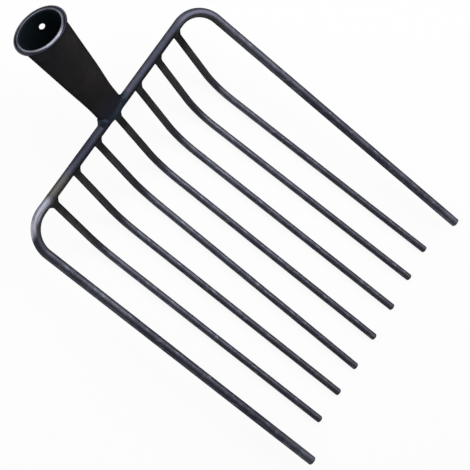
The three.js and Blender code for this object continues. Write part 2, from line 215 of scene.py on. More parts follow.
class ForkFinishes(PropertyGroup):
    """Colours of the lacquer, the welds and the studio, and how thick the lacquer is"""
    film: length("Lacquer film", "Thickness of the lacquer on the rods and the tube", 0.2)
    tip_film: length("Film at the tips", "How much thicker the lacquer has run at the tips", 0.12)
    # Soot at the welded roots, and also painted shade: the darkest tone, which the inner side of the
    # cross bar and of the bend at +X get
    rod_soot_and_shade: colour("Rod, sooty", "Burnt lacquer at the roots of the tines", "#353636")
    # Also painted shade, on the tines' slopes and on the inner side of both bends
    rod_thick_and_shade: colour("Rod, thick lacquer", "Lacquer over the rods where it lies thick", "#4f5052")
    rod_thin: colour("Rod, thin lacquer", "Steel showing bluish through thin lacquer", "#4a4b56")
    rod_rubbed: colour("Rod, rubbed", "Steel showing through where the lacquer is rubbed", "#656772")
    scuffed: colour("Scuff marks", "Light marks along the rods, lacquer scuffed off", "#8b8d9a")
    bar_blue: colour("Bar, blue", "Thin lacquer over the cross bar", "#3d4050")
    bar_warm: colour("Bar, warm", "Brown patch where the cross bar was heated", "#545150")
    bar_smoky: colour("Bar, smoky", "Darker patch between the socket and the brown one", "#393a47")
    # The next two are partly worn steel and partly a painted highlight, on the bar and round the bend
    # at +X
    corner_worn_and_highlight: colour("Corner, worn", "Steel rubbed bright at the bend at +X", "#868793")
    corner_bare_and_highlight: colour("Corner, bare", "Steel worn bare outside the bend at +X", "#b4b5c0")
    corner_rubbed: colour("Corner, rubbed", "Steel rubbed at the bend at -X", "#5f606e")
    tube_dark: colour("Socket, dark", "Matt black lacquer of the pressed tube", "#2f2f33")
    tube_light: colour("Socket, light", "Lighter, warmer clouds in the tube's lacquer", "#3e3b3a")
    tube_foot: colour("Socket, foot", "Breath of blue on the tube beside the weld", "#36363f")
    # How far the bore's painted shade reaches onto the crest
    rim_bore_shade_edge: length("Rim, dark edge", "Width of the bore's dull black on the crest", 0.9)
    rim_dark: colour("Rim, dark", "Rolled rim where some lacquer is left", "#50505a")
    # Painted shade on the rim's upper side
    rim_painted_shade: colour("Rim, thick lacquer", "Lacquer left thick on the rim's upper side", "#35353f")
    # Painted highlight along the rim's crest, on its upper side
    rim_painted_highlight: colour("Rim, bare", "Bare steel on the crest, where handles go in", "#898a95")
    rim_light: colour("Rim, light", "Rolled rim where it is rubbed bright", "#72737f")
    # Painted shade: the bore, darker and bluer than the tube outside
    bore: colour("Bore", "Dull black of the bore", "#242e34")
    weld_dark: colour("Weld, dark", "Weld metal under thick lacquer", "#323439")
    weld_blue: colour("Weld, blue", "Heat tint on the weld metal", "#3f4b5d")
    glint: colour("Glint", "Tint of what the lacquered steel mirrors at its edges", "#5a5a60")
    floor: colour("Floor", "Studio floor", "#ececec")


class ForkStageSizes(PropertyGroup):
    """The camera, as it was fitted to the photograph"""
    focal_pixels: FloatProperty(
        name="Focal length", description="In pixels of the photograph", default=1067.0)
    picture_pixels: IntProperty(
        name="Picture", description="Side of the photograph in pixels", default=470)
    middle_pixel: FloatVectorProperty(
        name="Middle", description="Pixel that the camera's axis passes through", size=2,
        default=(239.08, 219.5))
    sensor: length("Sensor", "Width of the camera's sensor", 36)


def rods():
    return bpy.context.scene.fork_rods


def socket_sizes():
    return bpy.context.scene.fork_socket


def weld_sizes():
    return bpy.context.scene.fork_welds


def finishes():
    return bpy.context.scene.fork_finishes


def bar_centre():
    """Middle of the cross bar, from the frame rod's box."""
    low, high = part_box("frame_rod")
    radius = rods().frame_diameter / 2
    return Vector(((low.x + high.x) / 2, low.y + radius, high.z - radius))


def deselect():
    bpy.ops.object.select_all(action="DESELECT")


def select_only(piece):
    deselect()
    piece.select_set(True)
    bpy.context.view_layer.objects.active = piece


def edit_all(piece):
    """Goes into edit mode on a piece, with all of it selected."""
    select_only(piece)
    bpy.ops.object.mode_set(mode="EDIT")
    bpy.ops.mesh.select_all(action="SELECT")


def leave_edit_mode():
    bpy.ops.object.mode_set(mode="OBJECT")


def edit_edges(piece, wanted):
    """Goes into edit mode on a piece, with only the edges selected for which wanted(edge) holds."""
    edit_all(piece)
    bpy.ops.mesh.select_mode(type="EDGE")
    bpy.ops.mesh.select_all(action="DESELECT")
    shape = bmesh.from_edit_mesh(piece.data)
    for edge in shape.edges:
        edge.select = wanted(edge)
    shape.select_flush_mode()
    bmesh.update_edit_mesh(piece.data)


def add_modifier(piece, kind, **settings):
    """Adds a modifier with its settings and applies it."""
    select_only(piece)
    modifier = piece.modifiers.new(kind.title(), kind)
    for name, value in settings.items():
        setattr(modifier, name, value)
    bpy.ops.object.modifier_apply(modifier=modifier.name)


def wave(piece, depth, size):
    """Leaves faint waves in a surface, of a depth and a size."""
    clouds = bpy.data.textures.new("clouds", "CLOUDS")
    clouds.noise_scale = size
    add_modifier(
        piece, "DISPLACE", texture=clouds, texture_coords="LOCAL", strength=depth, mid_level=0.5)


def place_in_mesh(piece, matrix=None):
    """Moves a piece's place into its mesh, with its object at the origin."""
    if matrix is not None:
        piece.matrix_world = matrix @ piece.matrix_world
    select_only(piece)
    bpy.ops.object.transform_apply(location=True, rotation=True, scale=True)


def copy_of(piece):
    """A copy of a piece with its own mesh."""
    copy = piece.copy()
    copy.data = piece.data.copy()
    bpy.context.scene.collection.objects.link(copy)
    return copy


def settle(piece, name, slot, finish, *nodes, smooth_angle=40):
    """Names a finished piece, gives it its finish and lets it stand for its CAD nodes."""
    select_only(piece)
    piece.name = name
    piece.data.name = name
    bpy.ops.object.shade_smooth_by_angle(angle=radians(smooth_angle))
    piece.data.materials.clear()
    piece.data.materials.append(finish)
    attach(piece, BODY)
    if nodes:
        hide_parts(*nodes)


def draw_out(travel):
    """Extrudes the selected end face by a travel, in equal stretches, short enough to wave."""
    count = ceil(travel.length / LONGEST_STRETCH)
    bpy.ops.mesh.extrude_repeat(steps=count, offset=travel / count)


def bent_rod(corners, radius, bend_radius, sides, bend_steps):
    """A rod drawn out from a disc at its first corner, and spun round a bend at each other."""
    heading = (corners[1] - corners[0]).normalized()
    deselect()
    bpy.ops.mesh.primitive_circle_add(
        vertices=sides, radius=radius, fill_type="NGON", location=corners[0],
        rotation=heading.to_track_quat("Z", "Y").to_euler())
    rod = bpy.context.object
    edit_all(rod)
    bpy.ops.mesh.select_mode(type="FACE")
    place = corners[0]
    for corner, beyond in zip(corners[1:-1], corners[2:]):
        leaving = (beyond - corner).normalized()
        turn = heading.angle(leaving)
        setback = bend_radius * tan(turn / 2)
        normal = heading.cross(leaving).normalized()
        bend_start = corner - heading * setback
        draw_out(bend_start - place)
        centre = bend_start + normal.cross(heading) * bend_radius
        bpy.ops.mesh.spin(steps=bend_steps, angle=-turn, center=centre, axis=normal)
        place = corner + leaving * setback
        heading = leaving
    draw_out(corners[-1] - place)
    leave_edit_mode()
    place_in_mesh(rod)
    return rod


def round_tip(rod, tip, rounding):
    """Rounds the edge of a rod's cut end, the only face there that is no quad."""
    near = rods().frame_diameter / 2 * 1.01  # just over the radius of either rod

    def on_cut_end(edge):
        ends = [vertex.co - tip for vertex in edge.verts]
        return all(end.length < near for end in ends) and len(edge.link_faces) == 2 and any(
            len(face.verts) > 4 for face in edge.link_faces)

    edit_edges(rod, on_cut_end)
    bpy.ops.mesh.bevel(offset=rounding, segments=5, affect="EDGES")
    leave_edit_mode()


def face_out(piece):
    """Turns a closed mesh's faces to point outwards."""
    edit_all(piece)
    bpy.ops.mesh.normals_make_consistent(inside=False)
    leave_edit_mode()


def thicken_to_tips(rod):
    """Lets the lacquer grow thicker from the cross bar to the tips, where it ran while it dried."""
    bar = bar_centre().y
    growth = finishes().tip_film / rods().outer_reach
    normals = [vertex.normal.copy() for vertex in rod.data.vertices]
    for vertex, normal in zip(rod.data.vertices, normals):
        vertex.co += normal * growth * max(vertex.co.y - bar, 0)
    rod.data.update()


class ForkBuildFrameRod(Operator):
    """Build the bent rod that is the cross bar and both outer tines"""
    bl_idname = "fork.build_frame_rod"
    bl_label = "Frame rod"

    def execute(self, context):
        sizes = rods()
        centre = bar_centre()
        forward = Vector((0, cos(sizes.frame_pitch), -sin(sizes.frame_pitch)))
        half = sizes.outer_spacing / 2
        reaches = ((-1, sizes.outer_reach - sizes.outer_short_cut), (1, sizes.outer_reach))
        tips = [centre + X_AXIS * side * (half + sizes.outer_flare) + forward * reach
                for side, reach in reaches]
        corners = [tips[0], centre - X_AXIS * half, centre + X_AXIS * half, tips[1]]
        rod = bent_rod(corners, sizes.frame_diameter / 2 + finishes().film, sizes.corner_radius,
                       sides=32, bend_steps=24)
        for tip in tips:
            round_tip(rod, tip, sizes.tip_rounding)
        face_out(rod)
        thicken_to_tips(rod)
        wave(rod, sizes.waviness, size=14 * MM)
        settle(rod, "bent_frame_rod", "frame_rod", frame_rod_finish(), "frame_rod")
        return {"FINISHED"}


def tine_places(index):
    """Root, bend and tip of an inner tine."""
    sizes = rods()
    centre = bar_centre()
    radius = sizes.tine_diameter / 2
    middle_low, middle_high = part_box("tine_4")
    drop = centre.z - middle_low.z - radius
    reach = middle_high.y - centre.y
    steps_from_middle = index - (TINE_COUNT - 1) / 2
    arc_share = (steps_from_middle / ((TINE_COUNT - 1) / 2)) ** 2

    def beside(share):
        return (steps_from_middle + share) * sizes.tine_pitch

    root = centre + Vector((beside(sizes.root_shares[index]), 0, 0))
    bend = centre + Vector((beside(sizes.bend_shares[index]), sizes.tine_bend_reach, -drop))
    tip_reach = reach - sizes.tine_tip_arc * arc_share
    tip = centre + Vector((beside(sizes.tip_shares[index]), tip_reach, -drop))
    return root, bend, tip


def set_by_hand(tine, index, straight):
    """Leans a copy of the straight tine sideways to its own root, bend and tip."""
    root, bend, tip = tine_places(index)
    straight_bend, straight_tip = straight
    slope = (bend - root).normalized()
    turn = slope.angle((tip - bend).normalized())
    setback = rods().tine_bend_radius * tan(turn / 2)
    first_lean = (bend.x - root.x) / (bend.y - root.y)
    second_lean = (tip.x - bend.x) / (tip.y - bend.y)
    stretch = (tip.y - bend.y) / (straight_tip.y - straight_bend.y)
    for vertex in tine.data.vertices:
        beyond = vertex.co.y - bend.y
        if beyond > 0:
            beyond *= stretch
            vertex.co.y = bend.y + beyond
        in_bend = min(max(beyond + setback, 0), 2 * setback)
        sideways = first_lean * beyond
        sideways += (second_lean - first_lean) * in_bend * in_bend / (4 * setback)
        sideways += (second_lean - first_lean) * max(beyond - setback, 0)
        vertex.co.x += bend.x + sideways
    tine.data.update()


class ForkBuildTines(Operator):
    """Build the seven inner tines: one is modelled, and its copies are set to their places"""
    bl_idname = "fork.build_tines"
    bl_label = "Inner tines"

    def execute(self, context):
        sizes = rods()
        middle = tine_places((TINE_COUNT - 1) // 2)
        path = [Vector((0, place.y, place.z)) for place in middle]
        straight = bent_rod(path, sizes.tine_diameter / 2 + finishes().film, sizes.tine_bend_radius,
                            sides=28, bend_steps=20)
        round_tip(straight, path[-1], sizes.tip_rounding)
        face_out(straight)
        finish = tine_finish()
        for index in range(TINE_COUNT):
            tine = copy_of(straight)
            set_by_hand(tine, index, path[1:])
            thicken_to_tips(tine)
            wave(tine, sizes.waviness, size=12 * MM)
            number = index + 1
            settle(tine, f"drawn_tine_{number}", "inner_tine", finish, f"tine_{number}")
        bpy.data.objects.remove(straight)
        return {"FINISHED"}


def frame_along(axis, place):
    """A frame at a place, with Z along an axis and X as near to the part's own X as it can be."""
    across = (X_AXIS - axis * axis.x).normalized()
    turned = Matrix((across, axis.cross(across), axis)).transposed().to_4x4()
    turned.translation = place
    return turned


def socket_frame():
    """The socket's own frame: X across, Y above and Z up its axis, from the middle of its foot."""
    sizes = socket_sizes()
    axis = Vector((
        sin(sizes.lean),
        -cos(sizes.rise) * cos(sizes.lean),
        sin(sizes.rise) * cos(sizes.lean)))
    return frame_along(axis, bar_centre() + X_AXIS * sizes.side_step)


def eased(along, reach):
    """A smooth rise from 0 at the foot to 1 at a reach up the tube."""
    share = min(max(along / reach, 0), 1)
    return share * share * (3 - 2 * share)


def tube_ring(along, depth):
    """A ring of the socket at a depth under its outer surface: height, shift and half sizes."""
    sizes = socket_sizes()
    half_foot = sizes.foot_width / 2
    cone = half_foot + (sizes.mouth_diameter / 2 - half_foot) * along / sizes.length
    half_width = cone + sizes.foot_spread * (1 - eased(along, sizes.spread_length))
    half_height = sizes.foot_height / 2
    half_height += (cone - half_height) * eased(along, sizes.press_length)
    return along, 0, half_width - depth, half_height - depth


def ring_stack(rings, sides, fill):
    """A tube drawn out along Z, ring by ring: each is its height, its shift along Y and its
    half width and half height."""
    deselect()
    height, shift, half_width, half_height = rings[0]
    bpy.ops.mesh.primitive_circle_add(
        vertices=sides, radius=half_width, fill_type="NGON" if fill else "NOTHING",
        location=(0, shift, height))
    tube = bpy.context.object
    edit_all(tube)
    bpy.ops.transform.resize(
        value=(1, half_height / half_width, 1), center_override=(0, shift, height))
    for before, after in zip(rings, rings[1:]):
        step = (0, after[1] - before[1], after[0] - before[0])
        bpy.ops.mesh.extrude_region_move(TRANSFORM_OT_translate={"value": step})
        grown = (after[2] / before[2], after[3] / before[3], 1)
        bpy.ops.transform.resize(value=grown, center_override=(0, after[1], after[0]))
    leave_edit_mode()
    place_in_mesh(tube)
    return tube


def rim_rings():
    """The rolled rim from the outer wall round to the bore: under the bead, round the sheet's
    rolled-down edge, through the groove beside it and over the crest."""
    sizes = socket_sizes()
    mouth = sizes.length
    proud = (sizes.rim_diameter - sizes.mouth_diameter) / 2
    edge, crest, groove = sizes.rim_edge, sizes.rim_crest, sizes.rim_groove
    under = sizes.rim_height - sizes.rim_fall - edge
    edge_along = mouth - sizes.rim_fall - edge
    quarter = [radians(degrees) for degrees in (0, 15, 30, 45, 60, 75, 90)]
    rings = [
        tube_ring(mouth - sizes.rim_height + under * (1 - cos(turn)), -proud * sin(turn))
        for turn in quarter
    ]
    rings += [tube_ring(edge_along + edge * sin(turn), -proud + edge * (1 - cos(turn)))
              for turn in quarter[1:]]
    crest_degrees = (50, 37, 25, 12, 0, -15, -30, -45, -60, -75, -90)
    crest_turns = [radians(degrees) for degrees in crest_degrees]
    groove_depth = sizes.wall - crest - crest * sin(crest_turns[0]) - groove
    groove_along = mouth - crest * (1 - cos(crest_turns[0])) - groove
    # Down from the sheet's edge, along the groove's floor and up to the crest
    rings += [
        tube_ring(edge_along + edge - groove * 0.4, -proud + edge * 1.45),
        tube_ring(groove_along - groove * 0.3, groove_depth - groove * 0.6),
        tube_ring(groove_along, groove_depth),
    ]
    rings += [tube_ring(mouth - crest * (1 - cos(turn)),
                        sizes.wall - crest - crest * sin(turn))
              for turn in crest_turns]
    return rings


class ForkBuildSocket(Operator):
    """Build the handle socket: a tapered tube, pressed at its foot, with a rolled rim"""
    bl_idname = "fork.build_socket"
    bl_label = "Handle socket"

    # Stretches between rings, where the tube is pressed and where it is round
    pressed, unpressed = 10, 6

    def execute(self, context):
        sizes = socket_sizes()
        press, rest = sizes.press_length, sizes.length - sizes.rim_height - sizes.press_length
        pressed_part = [press * step / self.pressed for step in range(self.pressed + 1)]
        round_part = [press + rest * step / self.unpressed for step in range(1, self.unpressed)]
        rounding = sizes.foot_edge
        outside = [tube_ring(0, rounding), tube_ring(rounding * 0.3, rounding * 0.3)]
        outside += [tube_ring(along, -finishes().film)
                    for along in (rounding, *pressed_part[1:], *round_part)]
        thicker = sizes.wall - sizes.foot_wall
        inside = [tube_ring(along, sizes.foot_wall + thicker * eased(along, press))
                  for along in reversed(pressed_part + round_part)]
        tube = ring_stack(outside + rim_rings() + inside, sides=72, fill=False)
        edit_edges(tube, lambda edge: edge.is_boundary)
        bpy.ops.mesh.bridge_edge_loops()
        leave_edit_mode()
        face_out(tube)
        add_modifier(tube, "SUBSURF", levels=1, render_levels=1)
        place_in_mesh(tube, socket_frame())
        self.drill_nail_hole(tube, sizes)
        wave(tube, rods().waviness, size=20 * MM)
        settle(tube, "pressed_socket", "socket", socket_finish(), "handle_socket")
        self.finish_rim_and_bore(tube, sizes)
        return {"FINISHED"}

    def drill_nail_hole(self, tube, sizes):
        """Cuts the nail hole through the underside wall, at a slant halfway between square to the
        wall and straight down."""
        along = sizes.length - sizes.nail_hole_depth
        middle_of_wall = tube_ring(along, sizes.wall / 2)[2]
        outward = Vector((-sin(sizes.nail_hole_turn), -cos(sizes.nail_hole_turn), 0))
        place = socket_frame() @ (outward * middle_of_wall + UP * along)
        drilled = (socket_frame().to_3x3() @ outward - UP).normalized()
        drill_length = 20 * MM
        deselect()
        bpy.ops.mesh.primitive_cylinder_add(
            vertices=48, radius=sizes.nail_hole_diameter / 2, depth=drill_length, location=place,
            rotation=drilled.to_track_quat("Z", "X").to_euler())
        drill = bpy.context.object
        add_modifier(tube, "BOOLEAN", object=drill, operation="DIFFERENCE", solver="EXACT")
        bpy.data.objects.remove(drill)

    def finish_rim_and_bore(self, tube, sizes):
        """Gives the rolled rim and the bore their own finishes, by where their faces lie. The bore's
        finish is painted shade, and its inward faces on the crest beside the bore take it too.
        """
        tube.data.materials.append(rim_finish())
        tube.data.materials.append(bore_shade_finish())
        to_socket = socket_frame().inverted()
        under_rim = sizes.length - sizes.rim_height
        rim_inside = sizes.mouth_diameter / 2 - sizes.wall + finishes().rim_bore_shade_edge
        for face in tube.data.polygons:
            place = to_socket @ face.center
            inwards = (to_socket.to_3x3() @ face.normal).xy.dot(place.xy) < 0
            if place.z > under_rim and place.xy.length > rim_inside:
                face.material_index = 1
            # The bore's faces take the painted shade
            elif inwards:
                face.material_index = 2


def weld_point(turn, share, far_share):
    """A point of a tine's weld metal, from the turn round the tine and how far it has flowed
    from the tine, 0, on to the cross bar, 1. X lies along the bar and Z along the tine."""
    welds = weld_sizes()
    tine_radius = rods().tine_diameter / 2
    bar_radius = rods().frame_diameter / 2
    broad = max(-cos(turn), cos(turn) * far_share, 0)
    leg = welds.leg + (welds.broad_leg - welds.leg) * broad
    neck = tine_radius - welds.sink
    foot_x = tine_radius + welds.foot + (welds.broad_foot - welds.foot) * broad
    foot_y = bar_radius - 2 * welds.sink

    def bar_surface(half_width):
        return sqrt(bar_radius ** 2 - (half_width * sin(turn)) ** 2)

    top = bar_surface(tine_radius) + leg
    bottom = bar_surface(foot_y) - welds.sink
    flow = share * pi / 2
    spread = 1 - cos(flow)
    return Vector((
        (neck + (foot_x - neck) * spread) * cos(turn),
        (neck + (foot_y - neck) * spread) * sin(turn),
        top + (bottom - top) * sin(flow)))


class ForkBuildTineWelds(Operator):
    """Build the weld beads at the roots of the inner tines"""
    bl_idname = "fork.build_tine_welds"
    bl_label = "Tine welds"

    rows = 14  # of faces, from a tine's surface down to the bar's

    def execute(self, context):
        welds = weld_sizes()
        drum = self.drum()
        finish = sooty_weld_finish()
        for index in range(TINE_COUNT):
            root, bend, _ = tine_places(index)
            bead = copy_of(drum)
            for vertex in bead.data.vertices:
                turn = atan2(vertex.co.y, vertex.co.x)
                share = round(vertex.co.z) / self.rows
                vertex.co = weld_point(turn, share, welds.far_shares[index])
            face_out(bead)
            place_in_mesh(bead, frame_along((bend - root).normalized(), root))
            wave(bead, welds.ripple, welds.ripple_length)
            number = index + 1
            settle(bead, f"tine_bead_{number}", "weld", finish, f"tine_weld_{number}",
                   smooth_angle=60)
        bpy.data.objects.remove(drum)
        return {"FINISHED"}

    def drum(self):
        """A drum of rings, which each copy then lays over the two rods that it joins. The rings
        lie on two crossing rods at once and aren't plain ovals, so their points are set singly."""
        deselect()
        bpy.ops.mesh.primitive_circle_add(vertices=56, radius=1, fill_type="NGON")
        drum = bpy.context.object
        edit_all(drum)
        bpy.ops.mesh.extrude_repeat(steps=self.rows, offset=(0, 0, 1))
        leave_edit_mode()
        return drum


class ForkBuildSocketWelds(Operator):
    """Build the weld metal over and under the cross bar at the socket's foot, and its spatter"""
    bl_idname = "fork.build_socket_welds"
    bl_label = "Socket welds"

    def execute(self, context):
        welds = weld_sizes()
        metal = self.fused_metal()
        finish = weld_finish()
        for name, sense in (("upper", 1), ("lower", -1)):
            half = copy_of(metal)
            edit_all(half)
            bpy.ops.mesh.bisect(
                plane_co=(0, 0, 0), plane_no=(0, -sense, 0), use_fill=True, clear_outer=True)
            leave_edit_mode()
            place_in_mesh(half, socket_frame())
            wave(half, welds.ripple, welds.ripple_length)
            settle(half, f"socket_bead_{name}", "weld", finish, f"socket_weld_{name}",
                   smooth_angle=60)
        bpy.data.objects.remove(metal)
        self.spatter(finish)
        return {"FINISHED"}

    def fused_metal(self):
        """Weld metal from rough lumps, in the socket's frame: the foot, the bar that it sits on and
        the corner that the welder filled, fused into one and smoothed until it flows."""
        sizes = socket_sizes()
        welds = weld_sizes()
        bar_radius = rods().frame_diameter / 2
        half_foot = sizes.foot_width / 2 + sizes.foot_spread
        rings = [(along * MM, 0, half_foot - inset * MM, half_height * MM)
                 for along, half_height, inset in WELD_NOSE]
        rings += [tube_ring(along * MM, depth * MM) for along, depth in WELD_COVER]
        foot = ring_stack(rings, sides=48, fill=True)
        bar_reach = half_foot + 9 * MM
        sunk_radius = bar_radius - welds.sink
        bar = ring_stack([(side * bar_reach, 0, sunk_radius, sunk_radius) for side in (-1, 1)],
                         sides=48, fill=True)
        bar.rotation_euler = (0, pi / 2, 0)
        place_in_mesh(bar)
        upright = Matrix.Rotation(pi / 2, 4, "X")
        lumps = []
        for side, stack in WELD_CORNERS.items():
            lump = ring_stack(
                [(half_foot + beyond * MM, shift * MM, half_width * MM, half_height * MM)
                 for beyond, shift, half_width, half_height in stack],
                sides=32, fill=True)
            lump.matrix_world = Matrix.Rotation(side * pi / 2, 4, "Z") @ upright
            place_in_mesh(lump)
            lumps.append(lump)
        select_only(foot)
        for lump in (bar, *lumps):
            lump.select_set(True)
        bpy.ops.object.join()
        add_modifier(foot, "REMESH", mode="VOXEL", voxel_size=welds.grain)
        add_modifier(foot, "SMOOTH", factor=0.5, iterations=24)
        return foot

    def spatter(self, finish):
        """A small bead of spatter that stuck to the bar beside the foot, at -X."""
        sizes = socket_sizes()
        radius = weld_sizes().spatter_diameter / 2
        turn = radians(38)
        beside_foot = 5.4 * MM
        out = Vector((0, -sin(turn), cos(turn)))
        side = sizes.side_step - sizes.foot_width / 2 - beside_foot
        place = bar_centre() + X_AXIS * side + out * rods().frame_diameter / 2
        deselect()
        bpy.ops.mesh.primitive_uv_sphere_add(
            segments=20, ring_count=12, radius=radius, location=place,
            rotation=out.to_track_quat("Z", "X").to_euler())
        bead = bpy.context.object
        bead.scale = SPATTER_FLATTENING
        place_in_mesh(bead)
        wave(bead, radius / 3, radius)
        settle(bead, "weld_spatter", "weld", finish)


def add_node(tree, kind, values=None, links=None, stops=(), **settings):
    """Adds a node to a tree, with its settings, its sockets' values, what feeds them and, on a
    colour ramp, its stops as (position, linear colour)."""
    node = tree.nodes.new(kind)
    for name, value in settings.items():
        setattr(node, name, value)
    for socket, value in (values or {}).items():
        node.inputs[socket].default_value = value
    for socket, source in (links or {}).items():
        tree.links.new(source, node.inputs[socket])
    for _ in stops[2:]:
        node.color_ramp.elements.new(0.5)
    for index, (position, tone) in enumerate(stops):
        node.color_ramp.elements[index].position = position
        node.color_ramp.elements[index].color = rgba(tone)
    return node


def empty_tree(owner):
    """The node tree of a new material or world, with no node in it."""
    owner.use_nodes = True
    owner.node_tree.nodes.clear()
    return owner.node_tree


def rgba(three):
    return (*three, 1)


def lacquered_steel(
        name, tones, roughness, cloud, pit, pit_depth, wear_and_light=None, patches=(), scuffed=None):
    """Thin lacquer with the drawn steel shining through it: a dark, bluish metal, darker where the
    lacquer is thick, with clouds in its tone and gloss and fine pits. Tones run from the darkest to
    the lightest: on the rods, from thick lacquer and painted shade to rubbed steel and painted
    highlight. The table along Y, as (mm beyond the cross bar, share), says how rubbed it is and also
    paints highlight and shade along the rods. Patches are (centre, inner, outer, colour, roughness);
    some of them paint highlight and shade. Scuffed is (colour, start, full), for light marks along Y
    that set in at a reach beyond the bar, where things have slid along."""
    material = bpy.data.materials.new(name)
    tree = empty_tree(material)
    place = add_node(tree, "ShaderNodeTexCoord").outputs["Object"]
    clouds, gloss_clouds, pits = [
        add_node(tree, "ShaderNodeTexNoise",
                 {"Scale": scale, "Detail": detail, "Roughness": coarseness},
                 {"Vector": place}).outputs["Fac"]
        for scale, detail, coarseness in (
            (1 / cloud, 8, 0.68), (3 / cloud, 5, 0.6), (1 / pit, 3, 0.65))
    ]
    rubbed, gloss = [
        add_node(tree, "ShaderNodeMapRange",
                 {"From Min": NOISE_LOW, "From Max": NOISE_HIGH, "To Min": low, "To Max": high},
                 {"Value": noise}).outputs["Result"]
        for noise, low, high in ((clouds, 0, 1), (gloss_clouds, *roughness))
    ]
    # Where the table along Y is given, the share is partly rubbed lacquer and partly painted
    # highlight and shade
    if wear_and_light:
        rubbed = along_rod(tree, place, rubbed, wear_and_light)
    stops = [(index / (len(tones) - 1), each) for index, each in enumerate(tones)]
    tone = add_node(tree, "ShaderNodeValToRGB", links={"Fac": rubbed}, stops=stops).outputs["Color"]
    if scuffed:
        scuff_colour, start, full = scuffed
        share = scuff_share(tree, place, start, full)
        tone = add_node(
            tree, "ShaderNodeMix", {"B": rgba(scuff_colour)}, {"Factor": share, "A": tone},
            data_type="RGBA").outputs["Result"]
    for centre, inner, outer, patch_colour, patch_roughness in patches:
        distance = add_node(
            tree, "ShaderNodeVectorMath", {1: centre}, {0: place}, operation="DISTANCE")
        inside = add_node(
            tree, "ShaderNodeMapRange",
            {"From Min": inner, "From Max": outer, "To Min": 1, "To Max": 0},
            {"Value": distance.outputs["Value"]}, interpolation_type="SMOOTHERSTEP")
        tone, gloss = [
            add_node(
                tree, "ShaderNodeMix", {"B": over},
                {"Factor": inside.outputs["Result"], "A": under}, data_type=kind).outputs["Result"]
            for kind, under, over in (
                ("RGBA", tone, rgba(patch_colour)), ("FLOAT", gloss, patch_roughness))
        ]
    bump = add_node(
        tree, "ShaderNodeBump", {"Strength": 0.6, "Distance": pit_depth}, {"Height": pits})
    shader = add_node(
        tree, "ShaderNodeBsdfPrincipled", {"Metallic": 1.0, "Specular Tint": rgba(finishes().glint)},
        {"Base Color": tone, "Roughness": gloss, "Normal": bump.outputs["Normal"]})
    add_node(tree, "ShaderNodeOutputMaterial", links={"Surface": shader.outputs["BSDF"]})
    return material


def reach_share(tree, place, start, full, most=1.0):
    """A share that rises along Y, between two distances beyond the cross bar."""
    bar = bar_centre().y
    reach = add_node(tree, "ShaderNodeSeparateXYZ", links={"Vector": place}).outputs["Y"]
    return add_node(tree, "ShaderNodeMapRange",
                    {"From Min": bar + start, "From Max": bar + full, "To Max": most},
                    {"Value": reach}).outputs["Result"]


def scuff_share(tree, place, start, full):
    """Where light marks lie along Y, from where they set in to where they are full."""
    stretched = add_node(tree, "ShaderNodeVectorMath", {1: Vector((1, SCUFF_SHRINK_Y, 1))},
                         {0: place}, operation="MULTIPLY")
    marks = add_node(
        tree, "ShaderNodeTexNoise", {"Scale": 1 / SCUFF_WIDTH, "Detail": 2, "Roughness": 0.5},
        {"Vector": stretched.outputs["Vector"]})
    most = reach_share(tree, place, start, full, SCUFF_MOST)
    return add_node(
        tree, "ShaderNodeMapRange", {"From Min": SCUFF_NOISE_LOW, "From Max": SCUFF_NOISE_HIGH},
        {"Value": marks.outputs["Fac"], "To Max": most}).outputs["Result"]


def along_rod(tree, place, clouds, wear_and_light):
    """How rubbed the lacquer is, with painted highlight and shade: a share that changes along Y,
    swayed a little by the clouds.
    """
    first, last = wear_and_light[0][0] * MM, wear_and_light[-1][0] * MM
    stops = [((reach * MM - first) / (last - first), [rubbed] * 3) for reach, rubbed in wear_and_light]
    course = add_node(
        tree, "ShaderNodeValToRGB", links={"Fac": reach_share(tree, place, first, last)}, stops=stops)
    swayed = add_node(tree, "ShaderNodeMath", {1: CLOUD_SWAY},
                      {0: clouds, 2: course.outputs["Color"]}, operation="MULTIPLY_ADD")
    return add_node(tree, "ShaderNodeMath", {1: CLOUD_SWAY / 2}, {0: swayed.outputs[0]},
                    operation="SUBTRACT").outputs[0]


